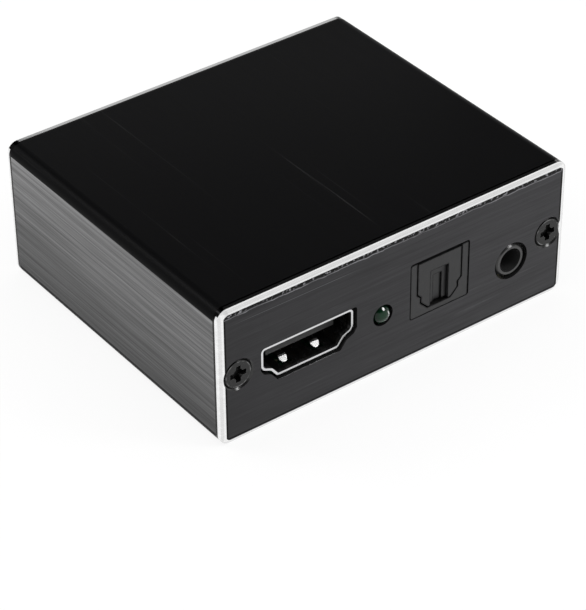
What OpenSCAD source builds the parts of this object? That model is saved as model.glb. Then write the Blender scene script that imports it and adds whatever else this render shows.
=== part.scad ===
// Audio extractor box: an extruded sleeve closed by two bevelled end plates,
// with a circuit board that carries the sockets, lamps and switch of both ends.
// Origin at the middle of the underside. The output end faces -Y, the input end +Y.

/* [Case] */
// Width of the case, side to side
case_w = 57; // [54:0.5:64]
// Height of the case
case_h = 21; // [18.5:0.5:26]
// Depth of the case, end face to end face
case_d = 49; // [46:0.5:70]
// Radius of the four long edges
case_round = 1.6; // [1.2:0.1:2.4]
// Wall of the extruded sleeve
sleeve_wall = 1.4; // [1:0.1:1.8]
// Thickness of each end plate
plate_t = 1.2; // [1.1:0.1:2]
// Width of the bright bevel round each end plate
bevel = 0.7; // [0.4:0.1:1.1]
// Depth of the bevel
bevel_depth = 0.4; // [0.2:0.05:0.7]

/* [Screws] */
// Diameter of a screw shank
screw_d = 2.5; // [2:0.1:2.8]
// Diameter of a countersunk head
screw_head_d = 4.2; // [3.8:0.1:4.4]
// Length of a screw, head included
screw_len = 8; // [6:0.5:10]
// Distance of a screw axis from the side of the case
screw_inset = 2.9; // [2.6:0.1:3.4]

/* [Circuit board] */
// Height of the board's underside above the ground
board_z = 4.5; // [3.8:0.1:5.5]
// Thickness of the board
board_t = 1.6; // [1:0.1:2]

/* [Video sockets] */
// Width of the mouth
video_w = 14; // [13.5:0.1:14.5]
// Height of the mouth
video_h = 4.55; // [4.3:0.05:5]
// Depth of the metal shell
video_d = 11.2; // [10:0.1:12]
// Height of the mouth's middle above the board
video_rise = 3.65; // [3.3:0.05:4.6]

/* [Lamps] */
// Diameter of a lamp
lamp_d = 3; // [2.5:0.1:3.5]
// Height of a lamp's axis above the board
lamp_rise = 3.25; // [2.8:0.05:5]

/* [Optical socket] */
// Width of the block
optical_w = 9.6; // [9:0.1:10]
// Height of the block above the board
optical_h = 8.9; // [8.4:0.1:10]
// Depth of the block
optical_d = 13; // [12.5:0.1:14]
// Width of the shutter door
door_w = 7.2; // [6.9:0.1:7.4]
// Height of the mouth, from the top of the block down
door_h = 7.75; // [7:0.05:7.9]
// Thickness of the shutter door
door_t = 0.95; // [0.8:0.05:1.1]

/* [Audio jack] */
// Bore for the plug
jack_bore_d = 3.6; // [3.5:0.05:3.8]
// Outside of the nose
jack_nose_d = 4.9; // [4.6:0.1:5.2]
// Width of the body
jack_w = 6; // [5.8:0.1:6.4]
// Height of the body
jack_h = 5; // [4.8:0.1:6]
// Depth of the jack, from the end face inwards
jack_d = 14.4; // [13.5:0.1:15]

/* [Power socket] */
// Width of the mouth
power_w = 6.9; // [6.6:0.1:7.2]
// Height of the mouth
power_h = 1.85; // [1.8:0.05:2.2]
// Depth of the shell
power_d = 5.4; // [5:0.1:6]

/* [Mode switch] */
// Width of the knob
knob_w = 1.8; // [1.6:0.1:2.4]
// Height of the knob
knob_h = 1.7; // [1.4:0.1:2]
// How far the knob stands out of the end plate
knob_reach = 1.9; // [1:0.1:2.5]
// Travel from one end position to the other, by way of the middle one
knob_travel = 4; // [3:0.2:4.4]
// Height of the knob's middle above the board
switch_rise = 2; // [1.8:0.1:2.6]

/* [Hidden] */
$fn = 48;

// Overrun of a cut past the face that it opens
over = 0.4;
// Steps of the arc that softens a corner of an outline
arc_steps = 3;
// Height of the board's top
board_top = board_z + board_t;
// Clearance between the board and the case round it, and the board's outline
board_play = 0.15;
board_w = case_w - 2 * sleeve_wall - 2 * board_play;
board_d = case_d - 2 * plate_t - 2 * board_play;
// Clearance round a leg that goes through the board
hole_play = 0.1;
// How far the legs reach below the board
leg_below = 0.8;
// Clearance round the video sockets, the optical block and the power socket in their end plates
video_play = 0.35;
block_play = 0.18;
port_play = 0.32;
// How far the block stands left of and below the middle of its cut-out
block_off = 0.06;
// Gap between an end plate and the parts that stand behind it
behind_gap = 0.1;

// Ribs that hold the board's edges in the sleeve
rib_t = 0.9;
rib_reach = 1.6;
// Smallest inside corner of the sleeve
inner_soft = 0.3;
// Wall and slit of the channels that take the screws
channel_wall = 0.9;
channel_slit = 1;
// Clearance round a screw shank
screw_play = 0.05;
// Screw head: how far it is sunk, its bevelled edge, and the plate left under its cone
head_sunk = 0.08;
head_soft = 0.12;
head_floor = 0.1;
head_t = min((screw_head_d - screw_d) / 2, plate_t - head_sunk - head_soft - head_floor);
countersink_d = screw_head_d + 2 * screw_play + (screw_head_d - screw_d) * (head_sunk + head_soft) / head_t;
// Pointed end of a screw, and the cross recess in its head
screw_tip = 0.4;
cross_w = 0.8;
cross_span = 2.5;
cross_d = 0.85;
cross_core_d = 1.6;

// Sheet metal of the socket shells, and the radius of their corners
shell_t = 0.3;
shell_soft = 0.35;
// Half outline of the video mouth, as shares of half its width and half its height
video_side_shares = [[0.67, -1], [0.8, -0.48], [0.965, -0.26], [1, -0.09], [1, 1]];
// Setback of the shell behind the face
shell_back = 0.4;
// Tongue that carries the contacts: width, thickness, height above the middle, and setback
tongue_w = 10.8;
tongue_t = 1.3;
tongue_lift = 0.5;
tongue_back = 1.7;
// Depth at which the insulator begins to fill the shell, and its wall behind the shell
plug_depth = 7.4;
rear_wall = 1.4;
// Contacts: pitch of a row, width, thickness, foot on the board, and number in each row
pin_pitch = 1;
pin_w = 0.3;
pin_t = 0.15;
pin_foot = 0.9;
upper_pins = 10;
lower_pins = 9;
// Springs that press on the plug: width, length, lift, sheet, setback, spacing, slit, place
// and height of the bump and the tip, and rounding of the bump
spring_w = 1.2;
spring_len = 4.2;
spring_lift = 0.55;
spring_t = 0.2;
spring_back = 1.1;
spring_pitch = 5.1;
spring_slot = 0.3;
spring_bend_share = 0.76;
spring_tip_share = 0.1;
spring_soft = 0.9;
// Legs of the video shell: width and distance of each pair from the end face
video_leg_w = 1.2;
video_leg_depths = [4.2, 9.6];

// Lamps: hole clearance, how far the tip stands out of the end plate, body length, and the flange
lamp_play = 0.1;
lamp_proud = 0.5;
lamp_len = 5.3;
lamp_flange_t = 1;
lamp_flange_d = 3.8;
// Lamp leads: side of the square wire, spacing, and the run before they bend down
lead_w = 0.5;
lead_pitch = 2.54;
lead_run = 2;

// Optical block: clear height under the nose, and radius of its lower corners
optical_step = 0.4;
optical_soft = 0.2;
// Half outline of the mouth, as shares of half its width and of its height from the top
mouth_side_shares = [[0.52, -1], [0.85, -0.84], [0.84, -0.73], [1, -0.66], [1, 0]];
// Depth of the mouth
mouth_d = 9;
// Clearance of the door at its sides, above it and below it
door_play = 0.2;
door_top_gap = 0.2;
door_slot = 0.18;
// Hinge: depth and drop of the axis, knuckle, pin, and its running clearance
hinge_depth = 0.8;
hinge_drop = 0.8;
knuckle_d = 1.2;
hinge_pin_d = 0.6;
hinge_play = 0.06;
hinge_grip = 0.02;
hinge_end = 0.15;
knuckle_play = 0.12;
ceiling_lift = 0.3;
// Recess in the door and the deeper one in its middle, both open at the bottom: width,
// drop below the door's top, depth
recess_w = 3;
recess_drop = 1.9;
recess_d = 0.45;
groove_w = 1.4;
groove_drop = 3.05;
groove_d = 0.7;
// Torsion spring on the hinge pin: wire, number of turns, legs, and its pocket in the cheek
coil_wire = 0.18;
coil_turns = 3;
coil_leg = 1.9;
coil_cross = 1.1;
coil_play = 0.06;
pocket_w = 0.75;
// Fibre guide, emitter pocket and emitter
guide_d = 2.2;
guide_t = 1;
emitter_w = 4.6;
emitter_t = 2.4;
emitter_play = 0.1;
emitter_lens_d = 1.8;
emitter_lens_t = 0.6;
optical_lead_pitch = 2.54;
optical_lead_w = 0.45;
// Pegs that hold the optical block on the board
peg_d = 1.2;
peg_pitch = 7;
peg_depth = 5;

// Jack: hole clearance, setback of the nose, rounding of its rim, wall behind the bore
jack_play = 0.35;
nose_back = 0.15;
nose_soft = 0.3;
jack_rear = 0.8;
// Jack contacts: sheet, height, length, and the depth where each begins
leaf_t = 0.2;
leaf_h = 1.7;
leaf_len = 2.7;
leaf_depths = [2.3, 5.9, 9.5];
leaf_tail = 0.7;
leaf_play = 0.1;

// Power socket: sheet, half outline shares, tongue and its contacts
power_t = 0.25;
power_back = 0.3;
power_side_shares = [[0.74, -1], [1, -0.1], [1, 1]];
power_soft = 0.25;
// Lips bent outwards round the mouth: reach, depth, and width as a share of their side
lip_reach = 0.2;
lip_d = 0.55;
lip_share = 0.72;
power_plug_depth = 4.3;
power_tongue_w = 3.7;
power_tongue_t = 0.6;
power_tongue_back = 0.9;
power_tongue_gap = 0.25;
power_pins = 5;
power_pin_pitch = 0.65;
power_pin_w = 0.25;
power_pin_t = 0.1;
power_pin_foot = 0.6;
power_leg_w = 0.9;
power_leg_depth = 3.4;

// Switch: can, sheet, and clearances of the knob in the slots
switch_w = 9;
switch_h = 4;
switch_can_d = 2.9;
switch_sheet = 0.3;
knob_play = 0.12;
slot_end_play = 0.75;
// Groove across the knob's grip
grip_w = 0.45;
grip_d = 0.7;
// Slider inside the can: width, height, thickness, and clearance to the can
slider_w = 3.8;
slider_h = 2.6;
slider_t = 1.2;
slider_play = 0.08;
// Bridge that joins two terminals, set into the slider
bridge_w = 2.6;
bridge_h = 1.4;
bridge_t = 0.5;
bridge_set = 0.3;
// Insulating base and terminals
base_t = 1.3;
terminal_pitch = 2;
terminal_w = 0.6;
terminal_t = 0.25;
terminals = 4;
switch_leg_w = 0.8;

// Fittings of each end from left to right, seen from outside. The width that they leave
// free between the two screws is shared out before, between and behind them.
output_widths = [video_w + 2 * shell_t, lamp_flange_d, optical_w, jack_w];
output_gap_shares = [0.116, 0.216, 0.216, 0.368, 0.084];
input_widths = [switch_w, video_w + 2 * shell_t, lamp_flange_d, power_w + 2 * power_t];
input_gap_shares = [0.21, 0.384, 0.171, 0.188, 0.047];

function total(v, n) = n > 0 ? v[n - 1] + total(v, n - 1) : 0;

function middle_x(widths, gap_shares, i) = let (edge = screw_inset + countersink_d / 2,
        free = case_w - 2 * edge - total(widths, len(widths)))
    edge - case_w / 2 + total(widths, i) + widths[i] / 2 + free * total(gap_shares, i + 1);

video_out_x = middle_x(output_widths, output_gap_shares, 0);
green_lamp_x = middle_x(output_widths, output_gap_shares, 1);
optical_x = middle_x(output_widths, output_gap_shares, 2);
jack_x = middle_x(output_widths, output_gap_shares, 3);
switch_x = middle_x(input_widths, input_gap_shares, 0);
video_in_x = middle_x(input_widths, input_gap_shares, 1);
red_lamp_x = middle_x(input_widths, input_gap_shares, 2);
power_x = middle_x(input_widths, input_gap_shares, 3);
// The knob rests at the end of its travel nearest to the video socket
knob_rest = knob_travel / 2;
optical_top = optical_h;
hinge_y = optical_top - hinge_drop;
behind = plate_t + behind_gap;

// Vector of length 1
function unit(v) = v / norm(v);

// Outline moved outwards by d at every side, its points given anticlockwise
function grown(p, d) = let (n = len(p)) [for (i = [0 : n - 1])
    let (u = unit(p[i] - p[(i + n - 1) % n]), v = unit(p[(i + 1) % n] - p[i]),
        a = [u[1], -u[0]], b = [v[1], -v[0]])
    p[i] + d * (a + b) / (1 + a * b)];

// Outline with each corner turned into an arc, no larger than its sides allow
function softened(p, r) = let (n = len(p)) [for (i = [0 : n - 1])
    let (before = p[(i + n - 1) % n] - p[i], after = p[(i + 1) % n] - p[i],
        a = unit(before), b = unit(after), half = acos(a * b) / 2,
        reach = min(r / tan(half), norm(before) / 2, norm(after) / 2),
        middle = p[i] + unit(a + b) * reach / cos(half),
        from = p[i] + a * reach - middle, to = p[i] + b * reach - middle, turn = 180 - 2 * half)
    for (k = [0 : arc_steps]) let (s = k / arc_steps)
    middle + (from * sin((1 - s) * turn) + to * sin(s * turn)) / sin(turn)];

// Full outline from the shares of its right half, listed upwards
function both_sides(shares, w, h) = concat([for (s = shares) [s[0] * w / 2, s[1] * h]],
    [for (i = [len(shares) - 1 : -1 : 0]) [-shares[i][0] * w / 2, shares[i][1] * h]]);

function video_mouth() = both_sides(video_side_shares, video_w, video_h / 2);
function power_mouth() = both_sides(power_side_shares, power_w, power_h / 2);
function optical_mouth() = both_sides(mouth_side_shares, door_w + 2 * door_play, door_h);

// Frames of the two ends: x to the right and y up as seen from outside, z out of the
// face, with the origin in the face at the height of the board's top
module at_output(x) {
    translate([x, -case_d / 2, board_top]) rotate([90, 0, 0]) children();
}

module at_input(x) {
    translate([-x, case_d / 2, board_top]) rotate([90, 0, 180]) children();
}

// Frames of the two video sockets, whose mouths stand behind the faces
module video_out_place() {
    at_output(video_out_x) translate([0, 0, -shell_back]) children();
}

module video_in_place() {
    at_input(video_in_x) translate([0, 0, -shell_back]) children();
}

module power_place() {
    at_input(power_x) translate([0, 0, -power_back]) children();
}

// Draws an outline of depth and height across the width of a socket
module across(w) {
    rotate([0, 90, 0]) linear_extrude(w, center = true) children();
}

// Extrudes an outline from one depth behind the face to another
module inwards(from, to) {
    translate([0, 0, -to]) linear_extrude(to - from) children();
}

module centred_square(w, h) {
    translate([-w / 2, -h / 2]) square([w, h]);
}

module rounded_rect(w, h, r) {
    centred_square(w - 2 * r, h);
    centred_square(w, h - 2 * r);
    for (x = [r - w / 2, w / 2 - r], y = [r - h / 2, h / 2 - r]) translate([x, y]) circle(r);
}

// Leg from a part above the board down through it, centred at one depth
module leg(w, t, depth, top) {
    translate([-t / 2, -board_t - leg_below, -depth - w / 2]) cube([t, top + board_t + leg_below, w]);
}

// Sleeve, plates and screws

module screw_channel() {
    circle(d = screw_d + 2 * (screw_play + channel_wall));
}

module sleeve_outline() {
    inner_w = case_w - 2 * sleeve_wall;
    inner_h = case_h - 2 * sleeve_wall;
    difference() {
        union() {
            difference() {
                rounded_rect(case_w, case_h, case_round);
                rounded_rect(inner_w, inner_h, max(case_round - sleeve_wall, inner_soft));
            }
            for (side = [0, 1]) mirror([side, 0]) {
                translate([case_w / 2 - screw_inset, 0]) screw_channel();
                for (y = [board_z - board_play - rib_t, board_top + board_play])
                    translate([inner_w / 2 - rib_reach, y - case_h / 2]) square([rib_reach + over, rib_t]);
            }
        }
        for (side = [0, 1]) mirror([side, 0]) {
            translate([case_w / 2 - screw_inset, 0]) circle(d = screw_d + 2 * screw_play);
            translate([case_w / 2 - screw_inset - screw_d - channel_wall, -channel_slit / 2])
                square([screw_d + channel_wall, channel_slit]);
        }
    }
}

module case_sleeve() {
    color("#17181a") translate([0, plate_t - case_d / 2, case_h / 2])
        rotate([-90, 0, 0]) linear_extrude(case_d - 2 * plate_t) mirror([0, 1]) sleeve_outline();
}

// Plate lying on its back: the edge profile runs round the corners and along the sides
module bevelled_plate(w, h, t, r) {
    profile = [[0, -t], [r, -t], [r, -bevel_depth], [r - bevel, 0], [0, 0]];
    translate([-w / 2 + r, -h / 2 + r, -t]) cube([w - 2 * r, h - 2 * r, t]);
    for (k = [0 : 3]) rotate([0, 0, 90 * k]) {
        a = k % 2 == 0 ? w : h;
        b = k % 2 == 0 ? h : w;
        translate([a / 2 - r, b / 2 - r, 0]) rotate_extrude(angle = 90) polygon(profile);
        translate([a / 2 - r, b / 2 - r, 0]) rotate([90, 0, 0]) linear_extrude(b - 2 * r)
            polygon(profile);
    }
}

module countersinks() {
    play = screw_play;
    depth = head_sunk + head_soft + head_t;
    for (x = [screw_inset - case_w / 2, case_w / 2 - screw_inset]) translate([x, 0, 0]) {
        translate([0, 0, -plate_t - over]) cylinder(d = screw_d + 2 * play, h = plate_t + 2 * over);
        translate([0, 0, -depth]) cylinder(d1 = screw_d + 2 * play, d2 = countersink_d, h = depth);
        cylinder(d = countersink_d, h = over);
    }
}

module blank_plate() {
    difference() {
        bevelled_plate(case_w, case_h, plate_t, case_round);
        countersinks();
    }
}

module through_plate() {
    translate([0, 0, -plate_t - over]) linear_extrude(plate_t + 2 * over) children();
}

module output_plate() {
    color("#43464a") difference() {
        translate([0, -case_d / 2, case_h / 2]) rotate([90, 0, 0]) blank_plate();
        video_out_place() video_cutout();
        at_output(green_lamp_x) lamp_cutout();
        at_output(optical_x) through_plate() translate([block_off, block_off])
            polygon(grown(optical_front(), block_play));
        at_output(jack_x) through_plate() translate([0, jack_h / 2])
            circle(d = jack_nose_d + 2 * jack_play);
    }
}

module input_plate() {
    color("#43464a") difference() {
        translate([0, case_d / 2, case_h / 2]) rotate([90, 0, 180]) blank_plate();
        video_in_place() video_cutout();
        at_input(red_lamp_x) lamp_cutout();
        power_place() inwards(-power_back - over, plate_t + over) translate([0, power_t + power_h / 2])
            polygon(softened(grown(power_mouth(), power_t + port_play), power_soft));
        at_input(switch_x) through_plate() translate([0, switch_rise])
            centred_square(knob_w + knob_travel + 2 * slot_end_play, knob_h + 2 * knob_play);
    }
}

module plate_screws() {
    head = screw_head_d / 2;
    shank = screw_d / 2;
    for (x = [screw_inset - case_w / 2, case_w / 2 - screw_inset]) translate([x, 0, -head_sunk])
        difference() {
            rotate_extrude() polygon([[0, -screw_len], [shank - screw_tip, -screw_len],
                [shank, screw_tip - screw_len], [shank, -head_soft - head_t], [head, -head_soft],
                [head - head_soft, 0], [0, 0]]);
            translate([0, 0, -cross_d]) linear_extrude(cross_d + over) {
                centred_square(cross_w, cross_span);
                centred_square(cross_span, cross_w);
            }
            translate([0, 0, -cross_d]) cylinder(d1 = cross_w, d2 = cross_core_d, h = cross_d);
        }
}

module output_plate_screws() {
    color("#1d1e20") translate([0, -case_d / 2, case_h / 2]) rotate([90, 0, 0]) plate_screws();
}

module input_plate_screws() {
    color("#1d1e20") translate([0, case_d / 2, case_h / 2]) rotate([90, 0, 180]) plate_screws();
}

// Video sockets

module video_cutout() {
    inwards(-shell_back - over, plate_t + over) translate([0, video_rise])
        polygon(softened(grown(video_mouth(), shell_t + video_play), shell_soft));
}

module video_legs(play) {
    for (depth = video_leg_depths, side = [-1, 1])
        translate([side * (video_w + shell_t) / 2, 0, 0])
            leg(video_leg_w + 2 * play, shell_t + 2 * play, depth, video_rise);
}

// Springs bent up from windows in the floor and down from windows in the roof
module video_spring_windows() {
    for (x = [-spring_pitch / 2, spring_pitch / 2])
        translate([x - spring_w / 2 - spring_slot, -video_h / 2 - shell_t - over,
                -spring_back - spring_len])
            cube([spring_w + 2 * spring_slot, shell_t + 2 * over, spring_len]);
}

module video_springs() {
    floor_y = -video_h / 2 - shell_t / 2 - spring_t / 2;
    front = spring_back + spring_slot;
    back = spring_back + spring_len + shell_t;
    bend = back - (back - front) * spring_bend_share;
    top = floor_y + spring_lift + shell_t;
    tip = floor_y + (spring_lift + shell_t) * spring_tip_share;
    strip = [[front, tip], [bend, top], [back, floor_y], [back, floor_y + spring_t],
        [bend, top + spring_t], [front, tip + spring_t]];
    for (x = [-spring_pitch / 2, spring_pitch / 2]) translate([x, 0, 0]) intersection() {
        across(spring_w) polygon(softened(strip, spring_soft));
        translate([0, top + spring_t + over, 0]) rotate([90, 0, 0]) linear_extrude(video_h) {
            translate([0, -front - spring_w / 2]) circle(d = spring_w);
            translate([-spring_w / 2, -back - over]) square([spring_w, back + over - front - spring_w / 2]);
        }
    }
}

module video_shell() {
    mouth = video_mouth();
    translate([0, video_rise, 0]) {
        difference() {
            inwards(0, video_d) polygon(softened(grown(mouth, shell_t), shell_soft + shell_t));
            inwards(-over, video_d + over) polygon(softened(mouth, shell_soft));
            video_spring_windows();
            mirror([0, 1, 0]) video_spring_windows();
        }
        video_springs();
        mirror([0, 1, 0]) video_springs();
    }
    video_legs(0);
}

// Contact of one row: along the tongue, down behind the insulator, foot on the board
module video_pin(y) {
    back = video_d + rear_wall;
    across(pin_w) polygon([[tongue_back + pin_pitch / 2, y - pin_t], [back, y - pin_t], [back, 0],
        [back + pin_foot, 0], [back + pin_foot, pin_t], [back + pin_t, pin_t], [back + pin_t, y],
        [tongue_back + pin_pitch / 2, y]]);
}

module video_pins() {
    tongue_y = video_rise + tongue_lift;
    for (i = [0 : upper_pins - 1]) translate([(i - (upper_pins - 1) / 2) * pin_pitch, 0, 0])
        video_pin(tongue_y + tongue_t / 2);
    for (i = [0 : lower_pins - 1]) translate([(i - (lower_pins - 1) / 2) * pin_pitch, 0, 0])
        video_pin(tongue_y - tongue_t / 2 + pin_t);
}

module video_insulator() {
    difference() {
        union() {
            translate([0, video_rise, 0]) {
                inwards(plug_depth, video_d) polygon(softened(video_mouth(), shell_soft));
                translate([0, tongue_lift, 0]) inwards(tongue_back, plug_depth + over)
                    centred_square(tongue_w, tongue_t);
            }
            inwards(video_d, video_d + rear_wall) translate([-video_w / 2, 0])
                square([video_w, video_rise + video_h / 2]);
        }
        video_pins();
    }
}

module video_out_shell() { color("#c9cbcc") video_out_place() video_shell(); }
module video_out_insulator() { color("#141414") video_out_place() video_insulator(); }
module video_out_contacts() { color("#c9a64e") video_out_place() video_pins(); }
module video_in_shell() { color("#c9cbcc") video_in_place() video_shell(); }
module video_in_insulator() { color("#141414") video_in_place() video_insulator(); }
module video_in_contacts() { color("#c9a64e") video_in_place() video_pins(); }

// Lamps

module lamp_cutout() {
    through_plate() translate([0, lamp_rise]) circle(d = lamp_d + 2 * lamp_play);
}

// Domed lamp, turned about its axis
module lamp() {
    r = lamp_d / 2;
    translate([0, lamp_rise, lamp_proud - lamp_len]) {
        cylinder(r = r, h = lamp_len - r);
        cylinder(d = lamp_flange_d, h = lamp_flange_t);
        translate([0, 0, lamp_len - r]) rotate_extrude() intersection() {
            circle(r);
            square(r);
        }
    }
}

module lamp_posts(play, top) {
    for (side = [-1, 1]) translate([side * lead_pitch / 2, 0, 0])
        leg(lead_w + 2 * play, lead_w + 2 * play, lamp_len - lamp_proud + lead_run - lead_w / 2, top);
}

module lamp_wires() {
    back = lamp_len - lamp_proud;
    for (side = [-1, 1])
        translate([side * lead_pitch / 2 - lead_w / 2, lamp_rise - lead_w / 2, -back - lead_run])
            cube([lead_w, lead_w, lead_run]);
    lamp_posts(0, lamp_rise);
}

module green_lamp() { color("#1f5a34") at_output(green_lamp_x) lamp(); }
module red_lamp() { color("#4a1512") at_input(red_lamp_x) lamp(); }

module lamp_leads() {
    color("#b9bbbd") {
        at_output(green_lamp_x) lamp_wires();
        at_input(red_lamp_x) lamp_wires();
    }
}

// Optical socket

function optical_front() = let (w = optical_w / 2)
    softened([[w, optical_step], [w, optical_top], [-w, optical_top], [-w, optical_step]], optical_soft);

module optical_block() {
    inwards(0, behind) polygon(optical_front());
    inwards(behind, optical_d) translate([-optical_w / 2, 0]) square([optical_w, optical_top]);
    optical_pegs(0);
}

module optical_pegs(play) {
    for (x = [-peg_pitch / 2, peg_pitch / 2]) translate([x, over, -peg_depth]) rotate([90, 0, 0])
        cylinder(d = peg_d + 2 * play, h = board_t + leg_below + over);
}

// Space of the mouth: open to the top round the knuckle, under a ceiling behind it
module optical_space() {
    notch = hinge_depth + knuckle_d / 2 + knuckle_play;
    ceiling = hinge_y + ceiling_lift;
    inwards(-over, mouth_d) translate([0, optical_top]) difference() {
        polygon(optical_mouth());
        translate([-optical_w, ceiling - optical_top]) square([2 * optical_w, optical_top]);
    }
    inwards(-over, notch) translate([0, optical_top])
        intersection() {
            union() {
                polygon(optical_mouth());
                translate([-door_w / 2 - door_play, -hinge_drop])
                    square([door_w + 2 * door_play, hinge_drop + over]);
            }
            centred_square(2 * optical_w, 2 * (door_h + over));
        }
}

module hinge_rod(d, from, to) {
    translate([from, hinge_y, -hinge_depth]) rotate([0, 90, 0]) cylinder(d = d, h = to - from);
}

// Pocket in the right cheek for the torsion spring and its legs
module spring_pocket() {
    coil_r = hinge_pin_d / 2 + coil_play + coil_wire;
    reach = coil_r + coil_play;
    translate([door_w / 2, hinge_y - coil_leg - coil_r, -hinge_depth - coil_leg - coil_r])
        cube([door_play + pocket_w, coil_leg + 2 * coil_r + coil_play, coil_leg + coil_r + reach]);
}

module optical_housing() {
    half = optical_w / 2;
    color("#35373a") at_output(optical_x) difference() {
        optical_block();
        optical_space();
        hinge_rod(hinge_pin_d + 2 * hinge_grip, hinge_end - half, half - hinge_end);
        spring_pocket();
        translate([0, optical_middle(), -optical_d - over]) cylinder(d = guide_d, h = optical_d);
        inwards(mouth_d + guide_t, optical_d + over) translate([0, optical_middle()])
            centred_square(emitter_w + 2 * emitter_play, emitter_w + 2 * emitter_play);
        inwards(mouth_d + guide_t + emitter_t - optical_lead_w, optical_d + over)
            translate([-emitter_w / 2, -over]) square([emitter_w, over + optical_middle()]);
    }
}

// Height of the fibre's axis
function optical_middle() = (optical_top + hinge_y - door_h) / 2;

module optical_door() {
    bottom = optical_top - door_h + door_slot;
    top = optical_top - door_top_gap;
    color("#3b3d40") at_output(optical_x) difference() {
        union() {
            inwards(0, door_t) intersection() {
                translate([0, optical_top]) polygon(grown(optical_mouth(), -door_play));
                translate([-door_w, bottom]) square([2 * door_w, top - bottom]);
            }
            hinge_rod(knuckle_d, -door_w / 2, door_w / 2);
        }
        hinge_rod(hinge_pin_d + 2 * hinge_play, -door_w, door_w);
        inwards(-over, recess_d) translate([-recess_w / 2, bottom - over])
            square([recess_w, top - recess_drop - bottom + over]);
        inwards(-over, groove_d) translate([-groove_w / 2, bottom - over])
            square([groove_w, top - groove_drop - bottom + over]);
    }
}

module optical_door_pin() {
    color("#9a9c9e") at_output(optical_x)
        hinge_rod(hinge_pin_d, hinge_end - optical_w / 2, optical_w / 2 - hinge_end);
}

// Close-wound turns round the pin, one leg under the ceiling, one behind the door
module optical_door_spring() {
    mean = hinge_pin_d / 2 + coil_play + coil_wire / 2;
    first = door_w / 2 + door_play + coil_wire / 2;
    last = first + (coil_turns - 1) * coil_wire;
    color("#b4b6b8") at_output(optical_x) translate([0, hinge_y, -hinge_depth]) {
        translate([first, 0, 0]) rotate([0, 90, 0]) rotate_extrude() {
            for (i = [0 : coil_turns - 1]) translate([mean, i * coil_wire]) circle(d = coil_wire);
            translate([mean - coil_wire / 4, 0]) square([coil_wire / 2, (coil_turns - 1) * coil_wire]);
        }
        translate([last, mean, -coil_leg]) cylinder(d = coil_wire, h = coil_leg);
        translate([first, 0, -mean]) rotate([90, 0, 0]) cylinder(d = coil_wire, h = coil_leg);
        translate([first, -coil_leg, -mean]) {
            sphere(d = coil_wire);
            rotate([0, -90, 0]) cylinder(d = coil_wire, h = coil_cross);
        }
    }
}

module optical_emitter() {
    depth = mouth_d + guide_t;
    color("#26282a") at_output(optical_x) translate([0, optical_middle(), 0]) {
        inwards(depth, depth + emitter_t) centred_square(emitter_w, emitter_w);
        translate([0, 0, -depth - over]) cylinder(d = emitter_lens_d, h = emitter_lens_t + over);
    }
}

module optical_posts(play) {
    depth = mouth_d + guide_t + emitter_t + optical_lead_w / 2;
    for (i = [-1, 0, 1]) translate([i * optical_lead_pitch / 2, 0, 0])
        leg(optical_lead_w + 2 * play, optical_lead_w + 2 * play, depth, optical_middle());
}

module optical_leads() { color("#b9bbbd") at_output(optical_x) optical_posts(0); }

// Audio jack

module jack_pocket(i) {
    side = i % 2 == 0 ? -1 : 1;
    mirror([side < 0 ? 1 : 0, 0, 0])
        translate([jack_bore_d / 2 - leaf_t, -over, -leaf_depths[i] - leaf_len - 2 * leaf_play])
            cube([5 * leaf_t, over + jack_h / 2 + leaf_h / 2 + leaf_play, leaf_len + 2 * leaf_play]);
}

module audio_jack_body() {
    middle = jack_h / 2;
    color("#2b2c2e") at_output(jack_x) difference() {
        union() {
            inwards(behind, jack_d) translate([-jack_w / 2, 0]) square([jack_w, jack_h]);
            translate([0, middle, 0]) rotate_extrude() polygon([[0, -behind - over],
                [jack_nose_d / 2, -behind - over], [jack_nose_d / 2, -nose_back - nose_soft],
                [jack_nose_d / 2 - nose_soft, -nose_back], [0, -nose_back]]);
        }
        translate([0, middle, jack_rear - jack_d]) cylinder(d = jack_bore_d, h = jack_d);
        for (i = [0 : len(leaf_depths) - 1]) jack_pocket(i);
    }
}

module jack_posts(play) {
    for (i = [0 : len(leaf_depths) - 1]) mirror([i % 2 == 0 ? 1 : 0, 0, 0])
        translate([jack_bore_d / 2 + leaf_t * 2, 0, 0])
            leg(leaf_tail + 2 * play, leaf_t + 2 * play,
                leaf_depths[i] + leaf_len + leaf_play - leaf_tail / 2, jack_h / 2);
}

// Leaf beside the bore, bent out to the tail that goes through the board
module jack_leaf(i) {
    depth = leaf_depths[i] + leaf_play;
    near = jack_bore_d / 2 + leaf_play;
    far = jack_bore_d / 2 + leaf_t * 3 / 2;
    mirror([i % 2 == 0 ? 1 : 0, 0, 0]) translate([0, jack_h / 2 + leaf_h / 2, 0]) rotate([90, 0, 0])
        linear_extrude(leaf_h) polygon([[near + leaf_t, -depth], [near, -depth - leaf_len / 3],
            [far, -depth - leaf_len], [far + leaf_t, -depth - leaf_len],
            [near + leaf_t, -depth - leaf_len / 3], [near + 2 * leaf_t, -depth]]);
}

module audio_jack_contacts() {
    color("#c4c6c7") at_output(jack_x) {
        for (i = [0 : len(leaf_depths) - 1]) jack_leaf(i);
        jack_posts(0);
    }
}

// Power socket

module power_legs(play) {
    for (side = [-1, 1]) translate([side * (power_w + power_t) / 2, 0, 0])
        leg(power_leg_w + 2 * play, power_t + 2 * play, power_leg_depth, power_t + power_h / 2);
}

// Lip along one side of the mouth, w wide, h above or beside the mouth's middle
module power_lip(w, h) {
    across(w) polygon([[0, h + lip_reach], [lip_d, h], [lip_d + power_t, h],
        [lip_d + power_t, h + power_t], [lip_d, h + power_t], [0, h + lip_reach + power_t]]);
}

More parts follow.
